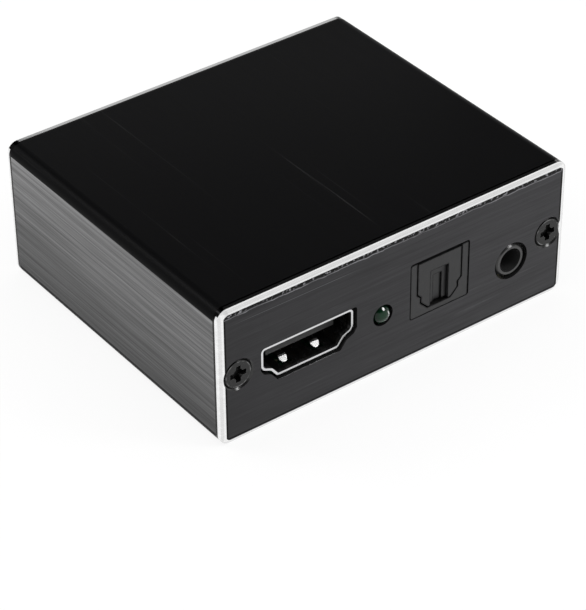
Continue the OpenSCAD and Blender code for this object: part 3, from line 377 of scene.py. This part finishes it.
def plate_material():
    """Dark brushed plate with a bright cut bevel. The rim behind the bevel is bright at the front of
    the sides, light grey above and below, and black round the corners and at the back."""
    material, tree, shader = new_material("dark plate", IOR=1.45, Specular_IOR_Level=0.4)
    x, y, z = place_xyz(tree)
    facing_x, facing_y, facing_z = facing_xyz(tree)
    from_middle = minus(tree, z, HEIGHT / 2)
    side_inset = minus(tree, absolute(tree, x), HALF_W - BEVEL)
    inset = largest(tree, side_inset, minus(tree, absolute(tree, from_middle), HEIGHT / 2 - BEVEL))
    behind_face = depth_behind_face(tree, y)
    endwards = absolute(tree, facing_y)
    sideways = absolute(tree, facing_x)

    # Zones: bevel with a bright burr beside it at the sides, outer rim, and the walls of the cut-outs
    outwards = largest(tree, times(tree, facing_x, sign(tree, x)), times(tree, facing_z, sign(tree, from_middle)))
    bevel = times(tree, inside(tree, endwards, 0.4, 0.95, 0.01), above(tree, outwards, 0.3),
                  above(tree, inset, BEVEL_ZONE_INSET))
    outer_wall = times(tree, below(tree, endwards, 0.3), above(tree, inset, OUTER_WALL_INSET))
    polished_side = times(tree, above(tree, sideways, 0.85), below(tree, behind_face, POLISHED_DEPTH))
    rim = times(tree, outer_wall, minus(tree, 1.0, polished_side))
    dark_rim = largest(tree, above(tree, sideways, 0.2), above(tree, behind_face, DARK_RIM_DEPTH))
    burr = inside(tree, side_inset, BURR_INSET, BEYOND_INSET, 0.03 * MM)
    bare = minus(tree, largest(tree, bevel, outer_wall, burr), rim, clamp=True)
    cut_wall = minus(tree, below(tree, endwards, 0.85), bare, clamp=True)

    # Brushed face, with a painted sheen that makes it lighter towards its right end when seen from outside
    grain = use(tree, BRUSHED_GRAIN, stretch=(150.0, 10000.0, 10000.0), contrast=1.9)
    coarse = use(tree, BRUSHED_GRAIN, stretch=(90.0, 3600.0, 3600.0), contrast=1.6)
    blotches = use(tree, MOULDED_GRAIN, grain_scale=300.0, cloud_scale=160.0)
    streaks = plus(tree, times(tree, grain["Streaks"], 0.6), times(tree, coarse["Streaks"], 0.25),
                   times(tree, blotches["Clouds"], 0.15))
    leftwards = times(tree, x, sign(tree, y))
    face = times(tree, remap(tree, streaks, 0.1, 0.9, 0.016, 0.058),
                 remap(tree, leftwards, HALF_W, -HALF_W, 0.84, 1.24))
    scratched_part = remap(tree, blotches["Grain"], 0.45, 0.6)
    strays = times(tree, coarse["Deep scratches"], grain["Streaks"],
                   remap(tree, scratched_part, 0.0, 1.0, 0.04, 0.12))

    # A dark ragged strip with pale flecks lies below the upper bevel, then a thin painted highlight line
    ragged = use(tree, MOULDED_GRAIN, grain_scale=2600.0, cloud_scale=750.0)
    wavy_z = plus(tree, z, times(tree, minus(tree, ragged["Clouds"], 0.5), 0.5 * MM))
    dark_strip = inside(tree, wavy_z, STRIP_LOW, HEIGHT, 0.07 * MM)
    border = inside(tree, inset, BORDER_INSET, BEYOND_INSET, 0.06 * MM)
    shade = minus(tree, 1.0, largest(tree, times(tree, dark_strip, 0.9), times(tree, border, 0.97)))
    flecks = times(tree, dark_strip, remap(tree, ragged["Grain"], 0.56, 0.62))
    edge_marking = times(tree, inside(tree, wavy_z, HIGHLIGHT_LINE_LOW, HIGHLIGHT_LINE_HIGH, 0.04 * MM),
                   remap(tree, coarse["Streaks"], 0.3, 0.6, 0.15, 1.0))

    # One long scratch crosses the left part of the output end, and a painted glint lies on the face along the
    # lower bevel's edge
    slanting_z = plus(tree, z, times(tree, x, 0.006))
    long_scratch = times(tree, inside(tree, slanting_z, SCRATCH_LOW, SCRATCH_HIGH, 0.03 * MM),
                         inside(tree, x, SCRATCH_LEFT, SCRATCH_RIGHT, 4 * MM), below(tree, y, 0.0))
    painted_lower_glint = below(tree, z, LOWER_GLINT_TOP)
    marks = plus(tree, times(tree, largest(tree, edge_marking, flecks), 0.2), times(tree, long_scratch, 0.07),
                 times(tree, painted_lower_glint, 0.4))
    level = plus(tree, times(tree, plus(tree, face, strays), shade), marks)
    face_colour = grey_from(tree, level, green=0.99, blue=1.05)

    # The bevel's middle is a little greyer than its two edges
    hollow = inside(tree, inset, HOLLOW_LOW_INSET, HOLLOW_HIGH_INSET, 0.12 * MM)
    uneven = plus(tree, times(tree, grain["Streaks"], 0.7), times(tree, ragged["Clouds"], 0.3))
    cut = times(tree, remap(tree, uneven, 0.25, 0.75, 0.8, 0.98), minus(tree, 1.0, times(tree, hollow, 0.16)))

    rim_colour = blend_colours(tree, dark_rim, grey(0.6), grey(0.002))
    wall_colour = blend_colours(tree, rim, grey(0.045), rim_colour)
    unpolished = blend_colours(tree, cut_wall, face_colour, wall_colour)
    tree.links.new(blend_colours(tree, bare, unpolished, grey_from(tree, cut)), shader["Base Color"])
    tree.links.new(largest(tree, bare, rim, 0.75), shader["Metallic"])
    smooth_part = largest(tree, bare, cut_wall)
    brushed_rough = remap(tree, streaks, 0.0, 1.0, 0.5, 0.38)
    smooth_rough = minus(tree, 0.2, times(tree, outer_wall, 0.12))
    tree.links.new(plus(tree, times(tree, brushed_rough, minus(tree, 1.0, smooth_part)),
                        times(tree, smooth_part, smooth_rough)), shader["Roughness"])
    depth = times(tree, grain["Height"], remap(tree, smooth_part, 0.0, 1.0, 1.0, 0.2))
    raise_surface(tree, shader, depth, BRUSHED_DEPTH)
    return material


# Materials of the fittings

def metal_material(name, colour, wear_colour, roughness, grain=0.004 * MM, tarnish=0.25, painted_shade_depth=None):
    """Plated or oxidised metal with worn edges, slightly uneven lustre and painted shade in gaps and corners.
    Deeper behind the end face than a given depth it is painted darker, as shade inside a socket."""
    material, tree, shader = new_material(name, Metallic=1.0)
    surface = use(tree, MOULDED_GRAIN, grain_scale=7000.0, cloud_scale=900.0)
    wear = use(tree, EDGE_WEAR_AND_SHADE, radius=0.08 * MM, patchiness=0.6)["Wear"]
    dulled = blend_colours(tree, times(tree, surface["Clouds"], tarnish), colour, multiplied(colour, 0.6))
    wear_and_shade_colour = blend_colours(tree, times(tree, wear, 0.8), dulled, wear_colour)
    # Painted shade darkens gaps and corners
    clear_of_painted_shade = use(tree, CAVITY_SHADE, reach=0.8 * MM, depth=0.75)["Open"]
    # Painted shade: deeper behind the end face the metal is darker
    if painted_shade_depth is not None:
        behind_face = depth_behind_face(tree, place_xyz(tree)[1])
        inner = remap(tree, behind_face, painted_shade_depth, painted_shade_depth + 0.2 * MM)
        wear_and_shade_colour = blend_colours(tree, inner, wear_and_shade_colour, grey(0.28))
    tree.links.new(blend_colours(tree, clear_of_painted_shade, grey(0.004), wear_and_shade_colour), shader["Base Color"])
    tree.links.new(remap(tree, surface["Clouds"], 0.3, 0.7, roughness * 0.85, roughness * 1.2),
                   shader["Roughness"])
    raise_surface(tree, shader, surface["Grain"], grain)
    return material


def screw_material():
    """Black oxide screws: painted shadow in the gap round each head, painted shade in corners, edges worn bare by
    the driver.
    """
    material, tree, shader = new_material("black oxide", Metallic=0.8)
    x, _, z = place_xyz(tree)
    from_axis = distance_of(tree, minus(tree, absolute(tree, x), SCREW_X), minus(tree, z, HEIGHT / 2))
    # Painted shadow: the gap round each head is black
    gap = remap(tree, from_axis, HEAD_RADIUS, HEAD_GAP_RADIUS)
    edge = inside(tree, from_axis, HEAD_EDGE_RADIUS, HEAD_RADIUS, 0.05 * MM)
    surface = use(tree, MOULDED_GRAIN, grain_scale=7000.0, cloud_scale=1500.0)
    wear = use(tree, EDGE_WEAR_AND_SHADE, radius=0.05 * MM, patchiness=0.6)["Wear"]
    # Painted shade darkens gaps and corners
    clear_of_painted_shade = use(tree, CAVITY_SHADE, reach=0.8 * MM, depth=0.9)["Open"]
    edge_marking = largest(tree, wear, times(tree, edge, remap(tree, surface["Clouds"], 0.45, 0.6)))
    metal = blend_colours(tree, times(tree, edge_marking, 0.7), grey(0.03), grey(0.3))
    shaded = blend_colours(tree, clear_of_painted_shade, grey(0.003), metal)
    tree.links.new(blend_colours(tree, gap, shaded, grey(0.003)), shader["Base Color"])
    tree.links.new(remap(tree, surface["Clouds"], 0.3, 0.7, 0.24, 0.36), shader["Roughness"])
    raise_surface(tree, shader, surface["Grain"], 0.006 * MM)
    return material


def plastic_material(name, colour, wear_and_shade_colour, roughness, grain=0.01 * MM, specular=0.4, painted_dark_depth=None,
                     edge_width=0.07 * MM, edge_strength=0.5, edges_painted_as_shadow=False):
    """Moulded plastic with a fine grain, worn edges and painted shade in gaps and corners. Given a depth,
    deeper behind the end face it is painted dark, as shade. If asked for, the edges beside a narrow gap are
    painted as shadow: black, reflecting next to nothing."""
    material, tree, shader = new_material(name, Metallic=0.0, Specular_IOR_Level=specular)
    surface = use(tree, MOULDED_GRAIN, grain_scale=5000.0, cloud_scale=600.0)
    wear = use(tree, EDGE_WEAR_AND_SHADE, radius=edge_width, patchiness=0.4)["Wear"]
    mottled = blend_colours(tree, surface["Clouds"], colour, multiplied(colour, 1.35))
    edge_marking = blend_colours(tree, times(tree, wear, edge_strength), mottled, wear_and_shade_colour)
    # Painted shade darkens gaps and corners
    clear_of_painted_shade = use(tree, CAVITY_SHADE, reach=0.7 * MM, depth=0.85)["Open"]
    colour_with_painted_shade = blend_colours(tree, clear_of_painted_shade, grey(0.002), edge_marking)
    # Painted shade: deeper behind the end face the plastic is near black
    if painted_dark_depth is not None:
        behind_face = depth_behind_face(tree, place_xyz(tree)[1])
        inner = remap(tree, behind_face, painted_dark_depth, painted_dark_depth + 0.08 * MM)
        colour_with_painted_shade = blend_colours(tree, inner, colour_with_painted_shade, grey(0.002))
    # Painted shadow: edges beside a narrow gap turn black and reflect nothing
    if edges_painted_as_shadow:
        tree.links.new(wear, shader["Metallic"])
    tree.links.new(colour_with_painted_shade, shader["Base Color"])
    rough = remap(tree, surface["Grain"], 0.3, 0.7, roughness * 0.9, roughness * 1.1)
    tree.links.new(minus(tree, rough, times(tree, wear, 0.12)), shader["Roughness"])
    raise_surface(tree, shader, surface["Grain"], grain)
    return material


def lamp_material(name, middle, rim, axis_x):
    """Tinted resin: lighter over the reflector cup in the middle, darker towards the rim, with a painted
    reflection and a painted highlight.
    """
    material, tree, shader = new_material(name, Roughness=0.05, IOR=1.5, Specular_IOR_Level=0.25)
    x, y, z = place_xyz(tree)
    across = minus(tree, x, axis_x)
    up = minus(tree, z, LAMP_Z)
    distance = distance_of(tree, across, up)
    cup_end = remap(tree, distance, 0.5 * MM, 1.3 * MM, smooth=True)
    swirl = use(tree, MOULDED_GRAIN, grain_scale=3000.0, cloud_scale=1100.0)["Clouds"]
    inner = blend_colours(tree, times(tree, swirl, 0.5), middle, rim)
    resin = blend_colours(tree, cup_end, inner, rim)
    # Painted reflection: a pale curved band at the lower right, along the cup's polished edge
    ring = inside(tree, distance, 0.64 * MM, 0.93 * MM, 0.08 * MM)
    lower_right = minus(tree, times(tree, across, sign(tree, y), -0.92), times(tree, up, 0.38))
    painted_reflection = times(tree, ring, remap(tree, lower_right, 0.15 * MM, 0.7 * MM, smooth=True))
    pale = blend_colours(tree, 0.85, middle, grey(0.8))
    with_painted_reflection = blend_colours(tree, painted_reflection, resin, pale)
    # Painted highlight: a small bright dot high up in the dome, standing in for the small front lamp's reflection
    from_painted_highlight = distance_of(tree, across, minus(tree, up, 1.04 * MM))
    painted_highlight = remap(tree, from_painted_highlight, 0.2 * MM, 0.13 * MM)
    tree.links.new(blend_colours(tree, painted_highlight, with_painted_reflection, grey(0.9)), shader["Base Color"])
    raise_surface(tree, shader, swirl, 0.01 * MM)
    return material


def board_material():
    """Green solder mask over copper tracks, bare fibre at the cut edges."""
    material, tree, shader = new_material("board green", Metallic=0.0, Coat_Weight=0.5, Coat_Roughness=0.15)
    place = object_place(tree)
    tracks = add(tree, "ShaderNodeTexVoronoi", {"Vector": place, "Scale": 420.0, "Randomness": 0.35},
                 feature="DISTANCE_TO_EDGE", distance="EUCLIDEAN").outputs["Distance"]
    copper = remap(tree, tracks, 0.05, 0.07)
    pads = add(tree, "ShaderNodeTexVoronoi", {"Vector": place, "Scale": 520.0, "Randomness": 1.0})
    via = remap(tree, pads.outputs["Distance"], 0.12, 0.1)
    mask = blend_colours(tree, copper, (0.006, 0.045, 0.022, 1), (0.012, 0.085, 0.04, 1))
    with_vias = blend_colours(tree, via, mask, (0.45, 0.4, 0.28, 1))
    cut_edge = below(tree, absolute(tree, facing_xyz(tree)[2]), 0.5)
    weave = use(tree, MOULDED_GRAIN, grain_scale=2500.0, cloud_scale=900.0)
    fibre = blend_colours(tree, weave["Grain"], (0.20, 0.19, 0.09, 1), (0.34, 0.31, 0.17, 1))
    tree.links.new(blend_colours(tree, cut_edge, with_vias, fibre), shader["Base Color"])
    tree.links.new(remap(tree, weave["Grain"], 0.3, 0.7, 0.3, 0.42), shader["Roughness"])
    raise_surface(tree, shader, copper, 0.02 * MM)
    return material


def print_material():
    """White printing ink, a little thin in places."""
    material, tree, shader = new_material("white print", Metallic=0.0, Specular_IOR_Level=0.3)
    ink = use(tree, MOULDED_GRAIN, grain_scale=9000.0, cloud_scale=2500.0)
    covering = remap(tree, ink["Clouds"], 0.3, 0.6)
    tree.links.new(blend_colours(tree, covering, grey(0.55), grey(0.8)), shader["Base Color"])
    tree.links.new(remap(tree, ink["Grain"], 0.3, 0.7, 0.5, 0.65), shader["Roughness"])
    raise_surface(tree, shader, ink["Grain"], 0.004 * MM)
    return material


def dress(material, *names):
    """Puts one material in every slot of the named nodes."""
    for name in names:
        slots = nodes[name].data.materials
        if len(slots) == 0:
            slots.append(material)
        for index in range(len(slots)):
            slots[index] = material


dress(sleeve_material(), "case_sleeve")
dress(plate_material(), "output_plate", "input_plate")
dress(screw_material(), "output_plate_screws", "input_plate_screws")
# Painted shade darkens the sockets' sheet from 0.8 mm behind the end face
dress(metal_material("bright sheet", (0.72, 0.72, 0.73, 1), (0.92, 0.92, 0.93, 1), 0.24,
                     grain=0.0015 * MM, tarnish=0.3, painted_shade_depth=0.8 * MM),
      "video_out_shell", "video_in_shell", "power_socket_shell")
dress(metal_material("tinned wire", (0.58, 0.59, 0.60, 1), (0.80, 0.80, 0.81, 1), 0.35),
      "optical_door_pin", "optical_door_spring", "optical_leads", "audio_jack_contacts",
      "switch_terminals", "lamp_leads")
# Painted shade: the switch's can is dark, standing in for the shade behind the slot
dress(metal_material("switch can painted in shade", (0.05, 0.05, 0.052, 1), (0.3, 0.3, 0.3, 1), 0.42), "switch_frame")
dress(metal_material("gold plating", (0.6, 0.43, 0.19, 1), (0.85, 0.66, 0.36, 1), 0.25),
      "video_out_contacts", "video_in_contacts", "power_socket_contacts", "switch_bridge")
dress(metal_material("satin can", (0.62, 0.63, 0.65, 1), (0.85, 0.85, 0.86, 1), 0.32),
      "crystal", "electrolytic_capacitors")
dress(plastic_material("socket plastic", grey(0.010), grey(0.03), 0.5),
      "video_out_insulator", "video_in_insulator", "power_socket_insulator", "optical_emitter")
dress(plastic_material("jack plastic", grey(0.022), grey(0.10), 0.2, specular=0.5), "audio_jack_body")
dress(plastic_material("knob plastic", grey(0.008), grey(0.03), 0.42), "switch_knob")
# Painted shadow: the optical housing's and shutter's edges are black beside their narrow gaps
painted_shadow_edges = {"edge_width": 0.32 * MM, "edge_strength": 1.0, "edges_painted_as_shadow": True}
dress(plastic_material("optical housing plastic", grey(0.016, (1, 1, 1.05)), grey(0.001), 0.42,
                       specular=0.35, painted_dark_depth=0.12 * MM, **painted_shadow_edges), "optical_housing")
dress(plastic_material("shutter plastic", grey(0.013, (1, 1, 1.05)), grey(0.001), 0.4,
                       specular=0.35, **painted_shadow_edges), "optical_door")
# Painted shade: the switch's base is near black, standing in for the shade behind the slot
dress(plastic_material("laminate painted in shade", (0.02, 0.013, 0.009, 1), (0.06, 0.04, 0.03, 1), 0.55), "switch_base")
dress(plastic_material("chip resin", grey(0.014), grey(0.05), 0.6, grain=0.02 * MM),
      "video_chip", "audio_chip", "memory_chip", "voltage_regulator", "chip_resistors")
dress(plastic_material("ferrite", grey(0.03), grey(0.09), 0.65, grain=0.03 * MM), "power_inductor")
dress(plastic_material("ceramic", (0.34, 0.21, 0.11, 1), (0.5, 0.36, 0.22, 1), 0.5), "ceramic_capacitors")
dress(board_material(), "circuit_board")
dress(lamp_material("green resin", (0.004, 0.035, 0.014, 1), (0.001, 0.010, 0.004, 1), GREEN_LAMP_X),
      "green_lamp")
dress(lamp_material("red resin", (0.05, 0.010, 0.010, 1), (0.012, 0.0015, 0.0015, 1), RED_LAMP_X),
      "red_lamp")


# Printed numbers that mark the switch's three positions

def number_mark(number, at_x, at_z, ink):
    """Prints a number on the input end plate, to be read from outside."""
    name = "position_number_%d" % number
    curve = bpy.data.curves.new(name, "FONT")
    curve.body = str(number)
    curve.size = NUMBER_SIZE
    curve.align_x = "CENTER"
    curve.align_y = "CENTER"
    curve.extrude = PRINT_HALF_THICKNESS
    curve.offset = PRINT_BOLDNESS
    curve.materials.append(ink)
    mark = bpy.data.objects.new(name, curve)
    bpy.context.collection.objects.link(mark)
    mark.matrix_world = Matrix(((-1, 0, 0, at_x), (0, 0, 1, HALF_D + PRINT_HALF_THICKNESS),
                                (0, 1, 0, at_z), (0, 0, 0, 1)))
    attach(mark, "case")


white_print = print_material()
knob_low, knob_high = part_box("switch_knob")
knob_x = (knob_low[0] + knob_high[0]) / 2
knob_z = (knob_low[2] + knob_high[2]) / 2
for number in (1, 2, 3):
    number_mark(number, knob_x + (3 - number) * NUMBER_SPACING, knob_z + NUMBER_RISE, white_print)


# Floor, light and camera

def seen_or_mirrored(tree, path):
    """1 for rays from the camera, for reflections and for rays through clear resin."""
    return largest(tree, path["Is Camera Ray"], path["Is Glossy Ray"], path["Is Transmission Ray"])


def make_floor():
    """Plain floor. What is seen of it is mostly an even white, mixed with a lit part for the shadow."""
    mesh = bpy.data.meshes.new("floor")
    shape = bmesh.new()
    corners = [shape.verts.new((side_x * FLOOR_REACH, side_y * FLOOR_REACH, FLOOR_Z))
               for side_x, side_y in ((-1, -1), (1, -1), (1, 1), (-1, 1))]
    shape.faces.new(corners)
    shape.to_mesh(mesh)
    shape.free()
    floor = bpy.data.objects.new("floor", mesh)
    bpy.context.collection.objects.link(floor)
    material, tree, shader = new_material("pale floor", Roughness=0.9, Specular_IOR_Level=0.0)
    shader["Base Color"].default_value = grey(0.92)
    path = add(tree, "ShaderNodeLightPath").outputs
    glow = add(tree, "ShaderNodeEmission", {"Color": grey(1.0), "Strength": 1.0}).outputs[0]
    lit = tree.nodes["Principled BSDF"].outputs[0]
    share = times(tree, seen_or_mirrored(tree, path), 0.88)
    shown = add(tree, "ShaderNodeMixShader", {0: share, 1: lit, 2: glow}).outputs[0]
    tree.links.new(shown, tree.nodes["Material Output"].inputs["Surface"])
    mesh.materials.append(material)


def make_surroundings():
    """Even dim light from all round. Reflections see a pale horizon below a dark ceiling."""
    world = bpy.data.worlds.new("studio")
    bpy.context.scene.world = world
    world.use_nodes = True
    tree = world.node_tree
    path = add(tree, "ShaderNodeLightPath").outputs
    direction = add(tree, "ShaderNodeTexCoord").outputs["Generated"]
    up = add(tree, "ShaderNodeSeparateXYZ", {0: direction}).outputs[2]
    ceiling = remap(tree, up, 0.22, 0.5, smooth=True)
    for_reflections = blend_colours(tree, ceiling, grey(1.0), grey(0.014))
    backdrop = blend_colours(tree, path["Is Camera Ray"], for_reflections, grey(1.0))
    colour = blend_colours(tree, seen_or_mirrored(tree, path), grey(0.55), backdrop)
    background = tree.nodes["Background"]
    tree.links.new(colour, background.inputs["Color"])
    background.inputs["Strength"].default_value = 1.0


def softbox(name, direction, distance, width, height, radiance):
    """Rectangular light that faces the box from a direction, with the brightness that it shows."""
    lamp = bpy.data.lights.new(name, "AREA")
    lamp.shape = "RECTANGLE"
    lamp.size, lamp.size_y = width, height
    lamp.energy = radiance * math.pi * width * height
    holder = bpy.data.objects.new(name, lamp)
    bpy.context.collection.objects.link(holder)
    way = Vector(direction).normalized()
    holder.location = Vector(SOFTBOX_AIM) + way * distance
    holder.rotation_euler = way.to_track_quat("Z", "Y").to_euler()
    holder.visible_camera = False


def make_camera():
    camera = bpy.data.cameras.new("camera")
    camera.sensor_width = CAMERA_SENSOR
    camera.lens = CAMERA_LENS
    camera.clip_start, camera.clip_end = 0.01, 20.0
    holder = bpy.data.objects.new("camera", camera)
    bpy.context.collection.objects.link(holder)
    axes = Matrix((CAMERA_RIGHT, CAMERA_UP, CAMERA_BACK)).transposed()
    holder.matrix_world = Matrix.Translation(CAMERA_PLACE) @ axes.to_4x4()
    bpy.context.scene.camera = holder


make_floor()
make_surroundings()
for settings in SOFTBOXES:
    softbox(*settings)
make_camera()
bpy.context.scene.view_settings.view_transform = "Standard"
